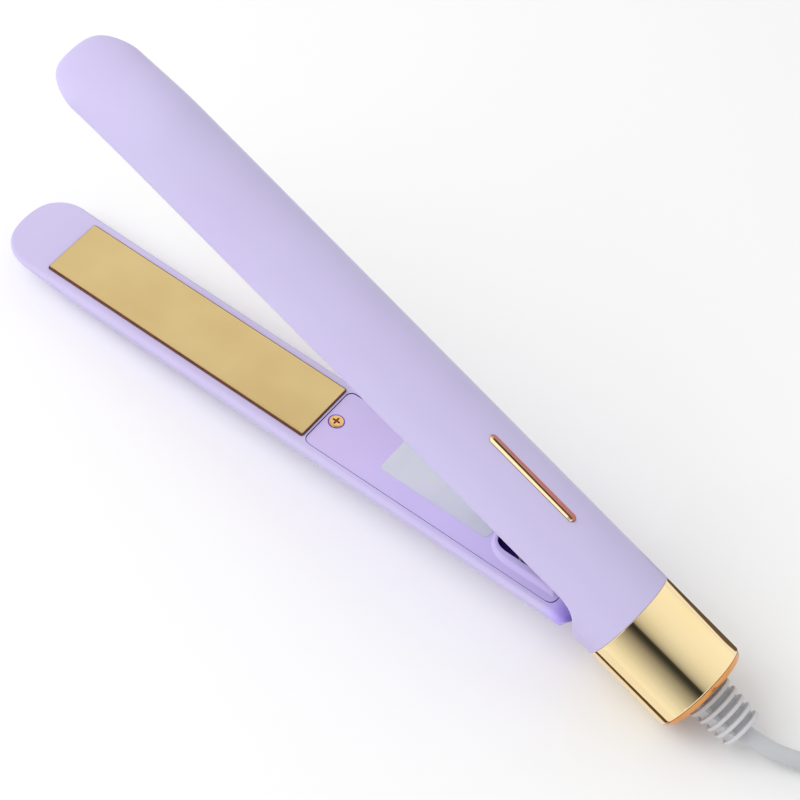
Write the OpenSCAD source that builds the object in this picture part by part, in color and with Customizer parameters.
// Small hair straightening iron: two half-round arms hinged at a round sleeve.
// Millimetres. +Z is up, +X runs from the jaw's tips to the cord, Y is the hinge axis.
// Each arm is drawn closed in its own frame (tip at x = 0, split plane at z = 0), then the
// lower arm is swung open about the hinge and both are laid on the surface they rest on.

/* [Sleeve and collar] */
// Outer radius of the upper arm, its sleeve and the collar
sleeve_r = 14.6; // [14:0.1:16]
// Where the full-round sleeve begins, from the tip
sleeve_x = 205.3; // [204:0.1:212]
// Length of the sleeve ahead of the collar
sleeve_l = 8; // [6:0.1:9]
// Length of the plated collar
collar_l = 27.4; // [22:0.1:32]
// Wall of the plated collar
collar_t = 1.3; // [1:0.1:1.8]
// How far the end cap stands out of the collar
cap_l = 1.6; // [1:0.1:2.4]

/* [Arms] */
// Outer radius of the lower arm, a little less than the sleeve's
lower_r = 13.8; // [13:0.1:14.2]
// Wall of the moulded shells
wall = 2; // [1.6:0.1:2.6]
// Height of the upper arm's face above the split plane
upper_face = 2; // [1.6:0.1:2.4]
// Depth of the lower arm's face below the split plane
lower_face = 1.2; // [1:0.1:2]
// Rounding of the upper arm's rim
upper_rim_r = 2.9; // [1:0.1:3.2]
// Rounding of the lower arm's rim
lower_rim_r = 1.3; // [0.5:0.1:2]
// Radius of the curve across the tips, seen from above
tip_curve_r = 30; // [24:1:60]
// Radius of the tips' corners, seen from above
tip_corner_r = 10.5; // [6:0.5:11.5]
// Length of the sloping nose
nose_l = 35; // [30:1:44]
// Crown of the nose, the radius of its back from side to side
nose_crown = 20; // [18:1:24]
// How far the upper arm's tip is set back from the lower arm's
tip_back = 0.8; // [0.2:0.1:1.2]
// Thickness that the nose keeps at its tip
nose_tip = 1.2; // [0.8:0.1:3]
// Where the lower arm's tail ends, from the tip
tail_x = 201.4; // [199:0.1:202]
// Radius of the hollow corner between the upper arm's rim and the sleeve
ear_r = 6; // [3:0.5:7]

/* [Hinge] */
// Distance of the hinge pin from the tip
pivot_x = 208.7; // [208:0.1:211]
// Opening angle of the jaw at its stop
open_deg = 22.9; // [16:0.1:23]
// Radius of the hinge pin
pin_r = 1.5; // [1.2:0.1:1.8]
// Radial running clearance between pin and tongue
pin_gap = 0.05; // [0.02:0.01:0.1]
// Radius of the eyes around the pin
eye_r = 3.4; // [3:0.1:3.6]
// Half width of the lower arm's hinge tongue
tongue_hw = 7; // [6:0.1:7.4]
// Half distance over the two hinge lugs
lug_hw = 10.8; // [10.2:0.1:10.8]
// Side gap between tongue and lugs
lug_gap = 0.3; // [0.2:0.05:0.6]

/* [Plates] */
// Where the plates start, from the tip
plate_x = 17.5; // [16:0.1:20]
// Length of the heated plates
plate_l = 91.9; // [80:0.1:94]
// Width of the heated plates
plate_w = 19.9; // [18:0.1:20.4]
// Gap between each plate and the split plane
plate_gap = 0.15; // [0.1:0.05:0.3]
// Height of the plates' side flanges
plate_h = 4.4; // [4:0.1:5]
// Thickness of the plates' metal
plate_t = 1.4; // [1:0.1:1.6]
// Gap all round between a plate and its shell
plate_slit = 0.35; // [0.2:0.05:0.5]
// Length of the heating element
heater_l = 62; // [40:1:74]
// Width of the heating element
heater_w = 12; // [8:0.5:14]
// Thickness of the heating element
heater_t = 2; // [1.6:0.1:2.1]

/* [Inner covers] */
// Gap between the heated plates and the covers
cover_gap = 1.2; // [1:0.1:2.4]
// Where the covers end, from the tip
cover_end = 195.3; // [192:0.1:196]
// Width of the covers
cover_w = 21.7; // [20:0.1:22]
// Thickness of the covers
cover_t = 1.6; // [1.2:0.1:2]
// How far the covers lie below the faces
cover_drop = 0.4; // [0.2:0.1:0.8]
// Corner radius of the covers
cover_corner = 2; // [1:0.5:3]
// Distance of the cover screws from the covers' front edges
screw_in = 3.2; // [3:0.1:6]
// Radius of the cover screws' heads
screw_head_r = 2.3; // [2:0.1:2.6]
// Length of the blank rating label
label_l = 36.7; // [30:0.1:37]
// Width of the blank rating label
label_w = 13; // [8:0.5:14]

/* [Return spring] */
// Distance of the spring's seats from the tip
spring_x = 181.8; // [181:0.1:183]
// Distance of the spring's seats from the split plane
seat_z = 7; // [6:0.1:8]
// Mean radius of the spring
spring_r = 4; // [3.6:0.1:4.1]
// Wire of the spring
spring_wire = 0.9; // [0.7:0.1:1]
// Turns of the spring
spring_turns = 7; // [5:1:9]
// Half width of the raised lip round the spring's opening
lip_hw = 8.8; // [8:0.1:9.4]
// Height of the raised lip
lip_h = 1.4; // [0.8:0.1:1.6]
// Half width of the spring's opening
mouth_hw = 4.95; // [4.9:0.05:5.4]

/* [Trim] */
// Distance of the trim bar from the tip
bar_x = 151.6; // [140:0.1:160]
// Length of the trim bar
bar_l = 33; // [20:0.5:40]
// Width of the trim bar
bar_w = 3; // [2:0.1:4]
// How far the trim bar stands proud
bar_h = 0.8; // [0.5:0.1:1.2]

/* [Cord and strain relief] */
// Diameter of the cord
cord_d = 5; // [4.6:0.1:5.4]
// Radius of the strain relief's first ring
relief_r1 = 7.05; // [6.6:0.05:7.4]
// Radius of its last ring
relief_r2 = 6.25; // [5.8:0.05:6.5]
// Distance from ring to ring
relief_pitch = 2.95; // [2.6:0.05:3.2]
// Thickness of each ring
relief_ring = 1.05; // [0.8:0.05:1.3]
// Number of rings
relief_rings = 5; // [4:1:7]

/* [Hidden] */
$fn = 48;

lilac = "#cdc1ea";
lilac_inner = "#c4b4e8";
gold = "#d8bc80";
copper = "#dd9c60";
grey = "#c2c3c6";
steel = "#b8bcc2";
brown = "#6a3f33";
amber = "#b9772c";

slip = 0.1;          // gap between pieces that are fixed to each other side by side
over = 0.01;         // overlap of solids joined into one piece
far = 60;            // reach of the cutting shapes
cover_x = plate_x + plate_l + cover_gap;
screw_x = cover_x + screw_in;
collar_x = sleeve_x + sleeve_l;
collar_end = collar_x + collar_l;
cap_end = collar_end + cap_l;

relief_x0 = cap_end + 3.1 - relief_ring;
relief_end = relief_x0 + (relief_rings - 1) * relief_pitch + relief_ring;

// ---- how the object lies -------------------------------------------------------------
foot_depth = 0.5;    // flat on the lower arm's back, so that it stands steady
foot_x = nose_l - 6; // the nose starts to lift here
function swing(p) = [   // a point of the closed lower arm, in the upper arm's frame
    pivot_x + (p.x - pivot_x) * cos(open_deg) - p.y * sin(open_deg),
    (p.x - pivot_x) * sin(open_deg) + p.y * cos(open_deg)];
heel = [collar_end, -sleeve_r];
toe = swing([foot_x, -(lower_r - foot_depth)]);
lean = atan2(heel.y - toe.y, heel.x - toe.x);
// height of the upper arm's axis at x = 0, so that heel and toe lie on z = 0
rise = heel.x * sin(lean) - heel.y * cos(lean);
function lay_x(p) = p.x * cos(lean) + p.y * sin(lean);
mid_x = (lay_x(swing([0, -lower_face])) + lay_x([relief_end, relief_r2])) / 2;

module laid_upper() translate([-mid_x, 0, rise]) rotate([0, lean, 0]) children();
module laid_lower() laid_upper()
    translate([pivot_x, 0, 0]) rotate([0, -open_deg, 0]) translate([-pivot_x, 0, 0])
        children();
function laid(p) = [    // a point [x, z] of the upper arm's frame, on the surface
    lay_x(p) - mid_x, 0, -p.x * sin(lean) + p.y * cos(lean) + rise];

// 2D shapes are drawn as (y, z) and run along x, or as (x, y) and rise along z
module along_x(x0, x1) translate([x0, 0, 0]) rotate([90, 0, 90])
    linear_extrude(x1 - x0) children();
module along_y(hw) rotate([90, 0, 0]) translate([0, 0, -hw])
    linear_extrude(2 * hw) children();
module flip() mirror([0, 0, 1]) children();

// ---- shells --------------------------------------------------------------------------
// Half round of radius r above z = g, its rim rounded with radius q. The rounding meets the
// round back at a slight angle.
rim_bite = 0.02;
module half_round(r, g, q) {
    d = r - q + rim_bite;
    cy = sqrt(d * d - pow(g + q, 2));
    tz = (g + q) * r / d;
    intersection() {
        circle(r, $fn = 128);
        union() {
            translate([-r, tz]) square([2 * r, r]);
            translate([-cy, g]) square([2 * cy, tz - g + 1]);
            for (s = [-1, 1]) translate([s * cy, g + q]) circle(q);
        }
    }
}

// Plan of an arm: a shallow curve across the tip, round corners and straight sides
module plan(hw) {
    b = hw - tip_corner_r;
    k = tip_curve_r - tip_corner_r + rim_bite;
    cx = tip_curve_r - sqrt(k * k - b * b);
    ty = b * tip_curve_r / k;
    intersection() {
        translate([tip_curve_r, 0]) circle(tip_curve_r, $fn = 128);
        translate([0, -ty]) square([cx + over, 2 * ty]);
    }
    for (s = [-1, 1]) translate([cx, s * b]) circle(tip_corner_r, $fn = 96);
    translate([cx, -hw]) square([pivot_x, 2 * hw]);
}

// The back of an arm, up to radius r: straight, and over the nose a crowned surface that
// bends down to the tip
module back(r, g) {
    low = r - nose_crown;
    top = g + nose_tip;
    bend = (nose_l * nose_l + pow(top - low, 2) - nose_crown * nose_crown) / (2 * (r - top));
    intersection() {
        translate([nose_l + 0.6, 0, low - bend]) rotate([90, 0, 0]) rotate_extrude($fn = 96)
            translate([bend, 0]) circle(nose_crown, $fn = 96);
        translate([-over, -far / 2, 0]) cube([nose_l + 2 * over, far, r]);
    }
    translate([nose_l, -far / 2, 0]) cube([pivot_x, far, r + 1]);
}

// Bed of a plate and its carrier, cut into the face at height g
bed_z = plate_gap + plate_h + 1.6;
module plate_bed(r) {
    m = plate_slit;
    translate([plate_x - m, -plate_w / 2 - m, 0]) cube([plate_l + 2 * m, plate_w + 2 * m, bed_z]);
    hollow(r, plate_x + 3, plate_x + plate_l - 2, plate_w / 2 - 1.6);
    // the way of the leads into the rear of the arm
    for (s = [-1, 1]) translate([0, s * lead_y, lead_z])
        along_x(plate_x + plate_l - 3, cover_x + 2) circle(lead_r + 0.05);
}

// Hollow under a bed or cover, no wider than hw on each side
module hollow(r, x0, x1, hw) intersection() {
    along_x(x0, x1) circle(r - wall, $fn = 96);
    translate([x0, -hw, 0]) cube([x1 - x0, 2 * hw, r]);
}

// Outline of an inner cover, grown by m
module cover_outline(m) {
    q = cover_corner;
    x0 = cover_x - m;
    x1 = cover_end + m;
    hw = cover_w / 2 + m;
    for (x = [x0 + q, x1 - q], s = [-1, 1]) translate([x, s * (hw - q)]) circle(q);
    translate([x0 + q, -hw]) square([x1 - x0 - 2 * q, 2 * hw]);
    translate([x0, -hw + q]) square([x1 - x0, 2 * hw - 2 * q]);
}

module cover_bed(r, g) {
    linear_extrude(g + cover_drop + cover_t) cover_outline(slip);
    hollow(r, cover_x + 1.2, cover_end - 1.2, cover_w / 2 - 1);
}

// Post that the cover's screw bites into, with its pilot hole
post_r = 3;
shank_r = 1.1;
shank_l = 7;
module screw_post(r, g) {
    z0 = g + cover_drop + cover_t;
    difference() {
        translate([screw_x, 0, z0]) cylinder(r = post_r, h = r - wall - z0 + 0.6);
        translate([screw_x, 0, z0 - 1]) cylinder(r = shank_r, h = shank_l + 1);
    }
}

// Seat of the return spring: a post with a spigot that goes inside the coil
module spring_seat(r) {
    translate([spring_x, 0, seat_z]) cylinder(r = spring_r + 1, h = r - wall - seat_z + 0.6);
    translate([spring_x, 0, seat_z - 2]) cylinder(r = spring_r - 1.2, h = 2 + over);
}

spigot_r = sleeve_r - collar_t - slip;
spigot_end = collar_end - 6;
bore_r = sleeve_r - wall;
anchor_x = collar_x + 12;
anchor_l = 6;
screw_y = 6;

ear_z = upper_face + 0.3 - ear_r;

module upper_shell() color(lilac) laid_upper() {
    difference() {
        union() {
            intersection() {
                along_x(0, sleeve_x + over) half_round(sleeve_r, upper_face, upper_rim_r);
                translate([tip_back, 0, 0]) linear_extrude(sleeve_r) plan(sleeve_r);
                translate([tip_back, 0, 0]) back(sleeve_r, upper_face);
            }
            along_x(sleeve_x, collar_x) circle(sleeve_r, $fn = 128);
            // the hollow corner between the rim and the sleeve's front edge
            intersection() {
                along_x(sleeve_x - ear_r, sleeve_x + over) circle(sleeve_r, $fn = 128);
                along_y(sleeve_r + 1) difference() {
                    translate([sleeve_x - ear_r, ear_z]) square([ear_r + over, ear_r + 1.7]);
                    translate([sleeve_x - ear_r, ear_z]) circle(ear_r);
                }
            }
            along_x(collar_x - over, spigot_end) circle(spigot_r, $fn = 128);
        }
        plate_bed(sleeve_r);
        cover_bed(sleeve_r, upper_face);
        along_x(cover_end - 1.3, sleeve_x) intersection() {
            circle(bore_r, $fn = 96);
            translate([-lug_hw - lug_gap, 0]) square([2 * (lug_hw + lug_gap), bore_r]);
        }
        along_x(sleeve_x - ear_r - over, sleeve_x) intersection() {
            circle(bore_r, $fn = 96);
            translate([-bore_r, -bore_r]) square([2 * bore_r, bore_r + upper_face]);
        }
        along_x(sleeve_x - over, collar_x + 3) circle(bore_r, $fn = 96);
        along_x(collar_x, spigot_end + 1) circle(spigot_r - 1.8, $fn = 96);
        bar_slot();
    }
    screw_post(sleeve_r, upper_face);
    spring_seat(sleeve_r);
    difference() {
        intersection() {
            along_x(anchor_x, anchor_x + anchor_l) circle(spigot_r - 1.7, $fn = 96);
            translate([anchor_x, -far / 2, -sleeve_r]) cube([anchor_l, far, sleeve_r - 0.3]);
        }
        along_x(anchor_x - 1, anchor_x + anchor_l + 1) circle(cord_d / 2);
        for (s = [-1, 1]) translate([anchor_x + anchor_l / 2, s * screw_y, -shank_l])
            cylinder(r = shank_r, h = shank_l);
    }
}

// Open stop: the tail's end face leans so that it meets the sleeve's face when open
stop_gap = 0.3;
module tail_side() {
    q = 5.5;
    reach = sleeve_x - stop_gap;
    foot = pivot_x + (reach - pivot_x - lower_r * sin(open_deg)) / cos(open_deg);
    intersection() {
        union() {
            square([tail_x - q, lower_r]);
            translate([0, lower_face + q]) square([tail_x, lower_r]);
            translate([tail_x - q, lower_face + q - rim_bite]) circle(q);
        }
        polygon([[0, 0], [pivot_x, 0], [tail_x, lower_face + q], [foot, lower_r],
            [0, lower_r]]);
    }
}

module tail_plan() {
    q = 4;
    translate([0, -lower_r]) square([tail_x - q, 2 * lower_r]);
    translate([0, -lower_r + q]) square([tail_x, 2 * (lower_r - q)]);
    for (s = [-1, 1]) translate([tail_x - q, s * (lower_r - q)]) circle(q);
}

module lower_shell() color(lilac) difference() {
    laid_lower() flip() {
        difference() {
            intersection() {
                along_x(0, tail_x) half_round(lower_r, lower_face, lower_rim_r);
                linear_extrude(lower_r) intersection() {
                    plan(lower_r);
                    tail_plan();
                }
                back(lower_r, lower_face);
                along_y(lower_r) tail_side();
            }
            plate_bed(lower_r);
            cover_bed(lower_r, lower_face);
            translate([cover_end - 2, -tongue_hw - lug_gap, 0])
                cube([far, 2 * (tongue_hw + lug_gap), eye_r + 0.3]);
        }
        screw_post(lower_r, lower_face);
        spring_seat(lower_r);
    }
    // the flat that the arm rests on
    translate([-far - mid_x, -far, -far]) cube([3 * far, 2 * far, far]);
}

// ---- inner covers and hinge ----------------------------------------------------------
// Side view of a hinge arm: a bar from the cover to the eye round the pin, at least at zb
module hinge_arm(x0, z0, z1, zb) {
    translate([pivot_x, 0]) circle(eye_r);
    polygon([[x0, z0], [x0 + 4, zb], [pivot_x - eye_r - 1, zb], [pivot_x, -eye_r],
        [pivot_x, eye_r], [x0, z1]]);
}

// Rounded opening that the spring stands in
module mouth(x0, x1, hw) {
    q = 3.5;
    for (x = [x0 + q, x1 - q], s = [-1, 1]) translate([x, s * (hw - q)]) circle(q);
    translate([x0 + q, -hw]) square([x1 - x0 - 2 * q, 2 * hw]);
    translate([x0, -hw + q]) square([x1 - x0, 2 * hw - 2 * q]);
}
mouth_x0 = spring_x - 10.7;
mouth_x1 = spring_x + 8.2;

screw_hole_r = shank_r + 0.2;
head_t = 1.1;
module screw_hole(z) {
    translate([screw_x, 0, z - 1]) cylinder(r = screw_hole_r, h = far);
    translate([screw_x, 0, z - 1]) cylinder(r = screw_head_r + slip, h = 1 + head_t);
}

module upper_inner_cover() color(lilac_inner) laid_upper() {
    z = upper_face + cover_drop;
    difference() {
        translate([0, 0, z]) linear_extrude(cover_t) difference() {
            cover_outline(0);
            mouth(mouth_x0, mouth_x1, mouth_hw);
        }
        screw_hole(z);
    }
    for (s = [-1, 1]) translate([0, s * (tongue_hw + lug_gap + lug_hw) / 2, 0]) difference() {
        along_y((lug_hw - tongue_hw - lug_gap) / 2)
            hinge_arm(cover_end - 6, z, z + cover_t, 0.5);
        translate([pivot_x, 0, 0]) rotate([90, 0, 0])
            cylinder(r = pin_r, h = far, center = true);
    }
}

module lower_inner_cover() color(lilac_inner) laid_lower() {
    z = lower_face + cover_drop;
    lip_x = mouth_x0 - 1.6 + lip_hw;
    flip() difference() {
        union() {
            translate([0, 0, z]) linear_extrude(cover_t) cover_outline(0);
            translate([lip_x, 0, z - lip_h])
                cylinder(r1 = lip_hw - lip_h, r2 = lip_hw, h = lip_h + over);
            along_x(lip_x, cover_end) polygon([[-lip_hw, z + over], [lip_hw, z + over],
                [lip_hw - lip_h, z - lip_h], [-lip_hw + lip_h, z - lip_h]]);
            along_y(tongue_hw) hinge_arm(mouth_x1 + 1, z - lip_h, z + cover_t, z - lip_h);
        }
        translate([0, 0, -far / 2]) linear_extrude(far) mouth(mouth_x0, mouth_x1, mouth_hw);
        screw_hole(z);
        translate([pivot_x, 0, 0]) rotate([90, 0, 0])
            cylinder(r = pin_r + pin_gap, h = far, center = true);
    }
}

module hinge_pin() color(steel) laid_upper()
    translate([pivot_x, 0, 0]) rotate([90, 0, 0]) cylinder(r = pin_r, h = 2 * lug_hw, center = true);

// ---- screws --------------------------------------------------------------------------
module cross_screw(head_r, length) {
    difference() {
        cylinder(r = head_r, h = head_t);
        for (a = [0, 90]) rotate(a) translate([-1.25, -0.28, -over]) cube([2.5, 0.56, 0.6]);
    }
    translate([0, 0, head_t - over]) cylinder(r = shank_r, h = length);
}

module cover_screw(face) translate([screw_x, 0, face + cover_drop])
    cross_screw(screw_head_r, shank_l - 1);

module upper_cover_screw() color(gold) laid_upper() cover_screw(upper_face);
module lower_cover_screw() color(gold) laid_lower() flip() cover_screw(lower_face);

module clamp_screws() color(steel) laid_upper() for (s = [-1, 1])
    translate([anchor_x + anchor_l / 2, s * screw_y, clamp_top + head_t])
        flip() cross_screw(2, clamp_top + 5);

// ---- heated plates -------------------------------------------------------------------
module plate() {
    c = plate_w / 2 - plate_t;
    translate([plate_x, 0, plate_gap]) difference() {
        along_x(0, plate_l) polygon([[-plate_w / 2, 0.3], [-plate_w / 2 + 0.3, 0],
            [plate_w / 2 - 0.3, 0], [plate_w / 2, 0.3], [plate_w / 2, plate_h],
            [-plate_w / 2, plate_h]]);
        translate([plate_t, -c, plate_t]) cube([plate_l - 2 * plate_t, 2 * c, plate_h]);
    }
}

carrier_t = bed_z - plate_gap - plate_h;
module carrier() difference() {
    translate([plate_x, -plate_w / 2, plate_gap + plate_h]) cube([plate_l, plate_w, carrier_t]);
    for (x = [plate_x + 8, lead_end - 5])
        translate([x, -4, 0]) cube([12, 8, far]);
}

heater_x = plate_x + (plate_l - heater_l) / 2;
heater_z = plate_gap + plate_t;
module heater() translate([heater_x, -heater_w / 2, heater_z])
    cube([heater_l, heater_w, heater_t]);

// Leaf that presses the element against the plate: flat ends and a shallow arch
clip_t = 0.35;
module heater_clip() {
    z0 = heater_z + heater_t;
    z1 = plate_gap + plate_h;
    n = 4;
    pitch = heater_l / n;
    for (i = [0:n - 1]) translate([heater_x + i * pitch, 0, 0])
        along_y(heater_w / 2 - 2) polygon([[0, z0], [1, z0], [pitch / 2 - 1, z1 - clip_t],
            [pitch / 2 + 1, z1 - clip_t], [pitch - 1, z0], [pitch, z0], [pitch, z0 + clip_t],
            [pitch - 1, z0 + clip_t], [pitch / 2 + 1, z1], [pitch / 2 - 1, z1],
            [1, z0 + clip_t], [0, z0 + clip_t]]);
}

module upper_plate() color(gold) laid_upper() plate();
module upper_plate_carrier() color(brown) laid_upper() carrier();
module upper_heater() color(amber) laid_upper() heater();
module upper_heater_clip() color(steel) laid_upper() heater_clip();
module lower_plate() color(gold) laid_lower() flip() plate();
module lower_plate_carrier() color(brown) laid_lower() flip() carrier();
module lower_heater() color(amber) laid_lower() flip() heater();
module lower_heater_clip() color(steel) laid_lower() flip() heater_clip();

// ---- label and trim ------------------------------------------------------------------
label_t = 0.2;
label_x = mouth_x0 - 1.9 - label_l;
label_y = 1.6;       // the label sits a little to one side
module rating_label() color("#d4d8e2") laid_lower()
    translate([label_x, label_y, -lower_face - cover_drop]) linear_extrude(label_t) {
        q = 1.2;
        for (x = [q, label_l - q], s = [-1, 1]) translate([x, s * (label_w / 2 - q)]) circle(q);
        translate([q, -label_w / 2]) square([label_l - 2 * q, label_w]);
        translate([0, -label_w / 2 + q]) square([label_l, label_w - 2 * q]);
    }

bar_sink = 1;
module bar_plan(m) {
    for (x = [bar_x + bar_w / 2, bar_x + bar_l - bar_w / 2])
        translate([x, 0]) circle(bar_w / 2 + m);
    translate([bar_x + bar_w / 2, -bar_w / 2 - m]) square([bar_l - bar_w, bar_w + 2 * m]);
}
module bar_slot() translate([0, 0, sleeve_r - bar_sink - slip])
    linear_extrude(far) bar_plan(slip / 2);

module trim_bar() color(gold) laid_upper() {
    z = sleeve_r - bar_sink;
    shoulder = sleeve_r + 0.25;
    straight = bar_l - bar_w;
    translate([0, 0, z]) linear_extrude(shoulder - z) bar_plan(0);
    // the roof-shaped top: two slopes that meet in a ridge, with conical ends
    translate([bar_x + bar_w / 2, 0, shoulder - over]) {
        along_x(0, straight) polygon([[-bar_w / 2, 0], [bar_w / 2, 0],
            [0.2, bar_h - 0.25], [-0.2, bar_h - 0.25]]);
        for (x = [0, straight]) translate([x, 0, 0])
            cylinder(r1 = bar_w / 2, r2 = 0.2, h = bar_h - 0.25);
    }
}

// ---- collar, cap, strain relief ------------------------------------------------------
module collar() color(gold) laid_upper() along_x(collar_x + 0.05, collar_end) difference() {
    circle(sleeve_r, $fn = 128);
    circle(sleeve_r - collar_t, $fn = 128);
}

relief_neck = 6;
cap_cup = spigot_r - 2.2;
module end_cap() color(copper) laid_upper() rotate([0, 90, 0]) difference() {
    union() {
        translate([0, 0, spigot_end + 0.3]) cylinder(r = spigot_r, h = collar_end - spigot_end);
        translate([0, 0, collar_end]) cylinder(r1 = sleeve_r - 0.05, r2 = sleeve_r - 1.1, h = cap_l);
    }
    translate([0, 0, spigot_end]) cylinder(r = cap_cup, h = collar_end - spigot_end - 0.8);
    translate([0, 0, spigot_end]) cylinder(r = relief_neck + slip, h = far);
}

function ring_r(i) = relief_r1 + (relief_r2 - relief_r1) * i / (relief_rings - 1);
web_hw = 2.1;        // half height of the web that joins the rings at both sides
module strain_relief() color(grey) laid_upper() difference() {
    union() {
        along_x(collar_end - 3.4, collar_end - 0.9) circle(relief_neck + 2.4);
        along_x(collar_end - 1, cap_end + 0.2) circle(relief_neck);
        along_x(cap_end, relief_end - over) circle(cord_d / 2 + 0.8);
        along_x(cap_end, relief_end - over) intersection() {
            circle(relief_r2 - 1.1);
            translate([-far / 2, -web_hw]) square([far, 2 * web_hw]);
        }
        for (i = [0:relief_rings - 1]) translate([relief_x0 + i * relief_pitch, 0, 0])
            along_x(0, relief_ring) circle(ring_r(i));
    }
    along_x(collar_end - 4, relief_end + 1) circle(cord_d / 2);
}

module cord_inner() color(grey) laid_upper()
    along_x(anchor_x - 1, relief_end) circle(cord_d / 2);

clamp_top = 4.5;
module cord_clamp() color(lilac_inner) laid_upper() difference() {
    translate([anchor_x, -9, 0.3]) cube([anchor_l, 18, clamp_top - 0.3]);
    along_x(anchor_x - 1, anchor_x + anchor_l + 1) circle(cord_d / 2);
    for (s = [-1, 1]) translate([anchor_x + anchor_l / 2, s * screw_y, 0])
        cylinder(r = shank_r + 0.1, h = far);
}

// ---- swept tubes ---------------------------------------------------------------------
function unit(v) = v / norm(v);
// Sideways and upward directions square to the path at point i
function tangent(p, i) = unit(p[min(i + 1, len(p) - 1)] - p[max(i - 1, 0)]);
function ring(p, i, r, n, up) = let (t = tangent(p, i), s = unit(cross(up, t)), u = cross(t, s))
    [for (k = [0:n - 1]) p[i] + r * (cos((k + 0.5) * 360 / n) * s + sin((k + 0.5) * 360 / n) * u)];
module tube(p, r, n, up = [0, 0, 1]) {
    m = len(p);
    polyhedron(
        points = [for (i = [0:m - 1]) each ring(p, i, r, n, up)],
        faces = [
            [for (k = [0:n - 1]) n - 1 - k], [for (k = [0:n - 1]) (m - 1) * n + k],
            for (i = [0:m - 2], k = [0:n - 1]) let (a = i * n + k, b = i * n + (k + 1) % n)
                each [[a, b, b + n], [a, b + n, a + n]]]);
}
function smooth(t) = let (c = max(0, min(1, t))) c * c * (3 - 2 * c);

lead_r = 0.75;
lead_y = 6.2;
lead_z = 8;
lead_end = heater_x + heater_l;
// The end of an internal wire: through its hole and down to the element
function wire_end(s) = [[plate_x + plate_l + 6, s * lead_y, lead_z],
    [plate_x + plate_l - 3, s * lead_y, lead_z], [lead_end + 9, s * 4.2, lead_z - 0.4],
    [lead_end + 5, s * 3, lead_z - 1.4], [lead_end + 2.4, s * 2.8, heater_z + 2.2],
    [lead_end + 1.2, s * 2.8, heater_z + 1], [lead_end, s * 2.8, heater_z + 1]];
module upper_leads() color("#b8423a") laid_upper() for (s = [-1, 1])
    tube(concat([[anchor_x - 1, s * 1.1, 0], [anchor_x - 2.2, s * 1.1, 0],
        [anchor_x - 4.5, s * 1.6, 1],
        [anchor_x - 8, s * 3.2, 4.2], [anchor_x - 12, s * 5.4, 7.4],
        [anchor_x - 16, s * lead_y, lead_z]], wire_end(s)), lead_r, 6);
module lower_leads() color("#b8423a") laid_lower() flip() for (s = [-1, 1])
    tube(concat([[cover_end - 6, s * lead_y, lead_z]], wire_end(s)), lead_r, 6);

// ---- return spring -------------------------------------------------------------------
seat_low = swing([spring_x, -seat_z]);
seat_high = [spring_x, seat_z];
// The spring's ends are square to it and the seats lean, so each end rests on one side
spring_lift = spring_wire / 2 + 0.1 + (spring_r + spring_wire / 2) * sin(open_deg / 2);
spring_l = norm(seat_high - seat_low) - 2 * spring_lift;
spring_lean = atan2(seat_high.x - seat_low.x, seat_high.y - seat_low.y);
// Helix with a closed turn at each end
function coil_z(t) = let (e = spring_wire + 0.55, m = spring_turns - 2, g = spring_l - 2 * e)
    t < 1 ? e * t : t > m + 1 ? spring_l - e * (m + 2 - t) : e + g * (t - 1) / m;
function helix() = [for (i = [0:8 * spring_turns]) let (t = i / 8)
    [spring_r * cos(360 * t), spring_r * sin(360 * t), coil_z(t)]];
module return_spring() color(steel) laid_upper()
    translate([seat_low.x, 0, seat_low.y]) rotate([0, spring_lean, 0])
        translate([0, 0, spring_lift]) tube(helix(), spring_wire / 2, 6);

// ---- cord, hank and plug -------------------------------------------------------------
cord_r = cord_d / 2;
cord_z = cord_r + 0.1;
// From the strain relief, in an easy curve along the surface, to the start of the hank
lead_points = concat([laid([relief_end, 0]), laid([relief_end + 2, 0])], [[131, 0.6, 6.6], [136, 2, 5.1], [141, 4.2, 4],
    [146, 7, 3.2], [151, 10.2, 2.8], [156, 13.6, 2.6], [161, 17, 2.6], [166, 20.2, 2.6],
    [171, 23, 2.6], [176, 25.3, 2.6], [181, 26.9, 2.6], [186, 27.8, 2.6], [192, 28, 2.6]]);

// The hank: four layers of one loop each, drawn in at the waist. Each loop steps in or out
// beside the one before it, and climbs to the next layer along a run.
hank_mid = [232, 6];
hank_half = 40;      // half length of the straight runs
hank_in = 15;        // radius of the tightest fold
hank_step = 6.1;     // from a loop to the one beside it
hank_rise = 5.6;     // from a layer to the next
hank_pinch = 12;     // how far the waist is drawn in
hank_lift = 1.4;     // the tie passes under the waist
run_share = 7 / 24;  // share of a loop's steps on each run
layers = 4;
plug_at = [273, -3, 30.3];
function wave(t) = let (u = t - 2 * floor(t / 2)) abs(u - 1);  // 1, 0, 1, 0 ... at 0, 1, 2, 3
function hank_w(t) = hank_in + hank_step * (t < 0 ? 1 - t : t > layers ? 1 + t - layers : wave(t));
function hank_z(t) = let (k = max(1, min(layers - 1, round(t))))
    cord_z + hank_rise * (k - 1 + smooth((t - k) / run_share + 0.5));
function bump(x) = (1 + cos(180 * x / hank_half)) / 2;
// A point of the hank at t turns; the turns are counted from the middle of the first run
function hank(t) = let (
    u = t + run_share / 2 - floor(t + run_share / 2),
    half = u >= 0.5 ? 1 : 0, v = u - half / 2, sg = 1 - 2 * half,
    on_run = v <= run_share + 0.0001, x = hank_half * (2 * v / run_share - 1),
    a = 180 * (v - run_share) / (0.5 - run_share), w = hank_w(t), lift = on_run ? bump(x) : 0)
    [hank_mid.x + sg * (on_run ? x : hank_half + w * sin(a)),
        hank_mid.y + sg * (on_run ? w - hank_pinch * bump(x) : w * cos(a)),
        hank_z(t) + hank_lift * lift];
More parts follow.
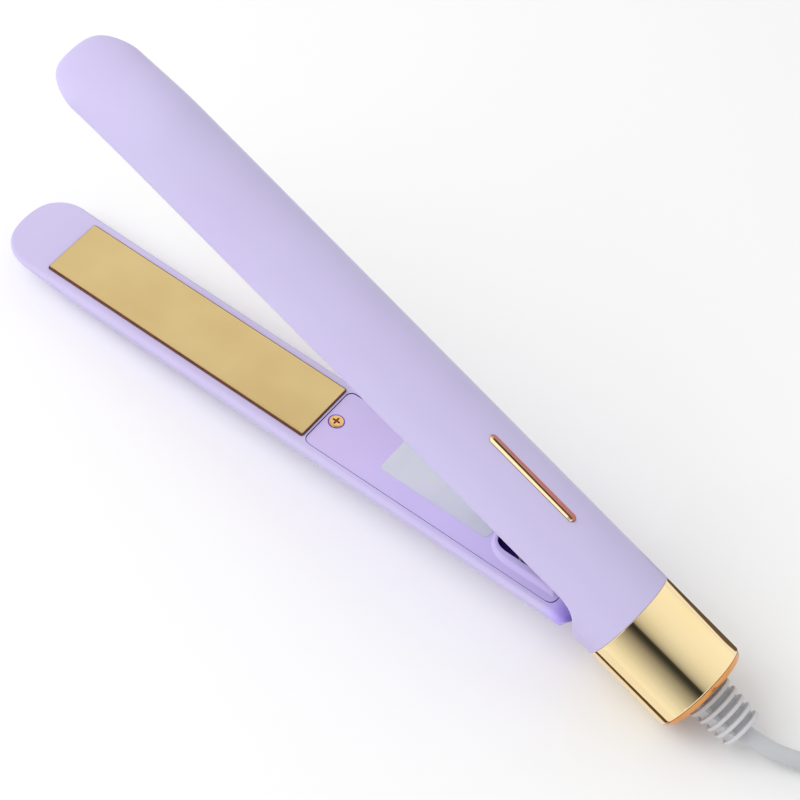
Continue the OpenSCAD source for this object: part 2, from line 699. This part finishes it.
// The cord's end leaves the last run, turns over the fold and comes back to the plug
tail_r = (hank_mid.y + hank_w(layers + run_share / 2) - plug_at.y) / 2;
tail_from = plug_at.x - 24;
tail_len = 30 + 180 * tail_r / 57.2958;
function tail_rise(s) = (plug_at.z - hank_z(layers)) * smooth(s / tail_len);
hank_points = concat(
    [for (i = [0:24 * layers + 7]) let (t = i / 24 - run_share / 2, p = hank(t))
        t < layers - 0.2 ? p : p + [0, 0, tail_rise(max(0, p.x - tail_from))]],
    [[plug_at.x + 2, plug_at.y + 2 * tail_r, hank_z(layers) + tail_rise(26)]],
    [for (k = [0:6]) let (a = 30 * k) [plug_at.x + 6 + tail_r * sin(a),
        plug_at.y + tail_r * (1 + cos(a)), hank_z(layers) + tail_rise(30 + a * tail_r / 57.2958)]],
    [plug_at]);
function along(p, i = 0) = i >= len(p) - 1 ? 0 : norm(p[i + 1] - p[i]) + along(p, i + 1);
function off(q, a, b) = let (d = b - a, t = max(0, min(1, (q - a) * d / (d * d))))
    norm(q - a - t * d);
// Least gap between stretches of the tube that aren't neighbours
function self_gap(p, r, near) = min([for (i = [0:len(p) - 1], j = [0:len(p) - 2])
    if (abs(i - j) > near && abs(i - j - 1) > near) off(p[i], p[j], p[j + 1])]) - 2 * r;
cord_length = along(lead_points) + along(hank_points);
echo(cord_length_mm = cord_length);
echo(lean = lean, rise = rise, mid_x = mid_x, pivot = laid([pivot_x, 0]), exit = laid([relief_end, 0]));
echo(seat_low = laid(seat_low), seat_high = laid(seat_high), toe = laid(toe));
echo(hank_least_gap_mm = self_gap(hank_points, cord_r, 5));
echo(spring_least_gap_mm = self_gap(helix(), spring_wire / 2, 5));

module cord_lead() color(grey) tube(lead_points, cord_r, 8);
module cord_hank() color(grey) tube(hank_points, cord_r, 6);

// Flat strap round the waist
tie_l = 10;
tie_t = 1.2;
module tie_section(m) {
    y0 = hank_mid.y - (hank_w(0.5) - hank_pinch) - cord_r - 0.1 - m;
    y1 = hank_mid.y + (hank_w(0) - hank_pinch) + cord_r + 0.1 + m;
    z0 = cord_z + hank_lift - cord_r - 0.05 - m;
    z1 = cord_z + hank_lift + (layers - 1) * hank_rise + cord_r + 0.05 + m;
    q = 2.2 + m;
    for (y = [y0 + q, y1 - q], z = [z0 + q, z1 - q]) translate([y, z]) circle(q);
    translate([y0 + q, z0]) square([y1 - y0 - 2 * q, z1 - z0]);
    translate([y0, z0 + q]) square([y1 - y0, z1 - z0 - 2 * q]);
}
module cord_tie() color("#8e8f94")
    along_x(hank_mid.x - tie_l / 2, hank_mid.x + tie_l / 2) difference() {
        tie_section(tie_t);
        tie_section(0);
    }

// Two-blade plug, moulded on, with a tapered neck
plug_l = 35;
plug_w = 23;
plug_h = 14;
neck_l = 13;
blade_l = 16;
module plug_body() color(grey) translate(plug_at) {
    rotate([0, -90, 0]) cylinder(r1 = cord_r + 0.9, r2 = 4.6, h = neck_l + 3);
    intersection() {
        translate([0, 0, -plug_h / 2]) linear_extrude(plug_h) {
            q = 3;
            translate([-plug_l, -plug_w / 2 + 1.5]) square([6, plug_w - 3]);
            translate([-plug_l + 3, -plug_w / 2]) square([6, plug_w]);
            polygon([[-plug_l + 3, -plug_w / 2], [-plug_l + 12, -plug_w / 2],
                [-neck_l - 1, -6.5], [-neck_l + 1, -4], [-neck_l + 1, 4], [-neck_l - 1, 6.5],
                [-plug_l + 12, plug_w / 2], [-plug_l + 3, plug_w / 2]]);
        }
        along_y(plug_w / 2) polygon([[-plug_l, -plug_h / 2 + 1], [-plug_l + 1, -plug_h / 2],
            [-plug_l + 12, -plug_h / 2], [-neck_l + 1, -4.6], [-neck_l + 1, 4.6],
            [-plug_l + 12, plug_h / 2], [-plug_l + 1, plug_h / 2], [-plug_l, plug_h / 2 - 1]]);
    }
}
module plug_blades() color(steel) translate(plug_at) for (s = [-1, 1])
    translate([-plug_l - blade_l, s * 6.35 - 0.75, -3.15]) difference() {
        cube([blade_l, 1.5, 6.3]);
        translate([3.6, 0.75, 3.15]) rotate([90, 0, 0]) cylinder(r = 1.55, h = 2, center = true);
    }

upper_shell();
upper_inner_cover();
upper_cover_screw();
upper_plate();
upper_plate_carrier();
upper_heater();
upper_heater_clip();
trim_bar();
collar();
end_cap();
strain_relief();
cord_inner();
cord_clamp();
clamp_screws();
upper_leads();
hinge_pin();
lower_shell();
lower_inner_cover();
lower_cover_screw();
rating_label();
lower_plate();
lower_plate_carrier();
lower_heater();
lower_heater_clip();
lower_leads();
return_spring();
cord_lead();
cord_hank();
cord_tie();
plug_body();
plug_blades();
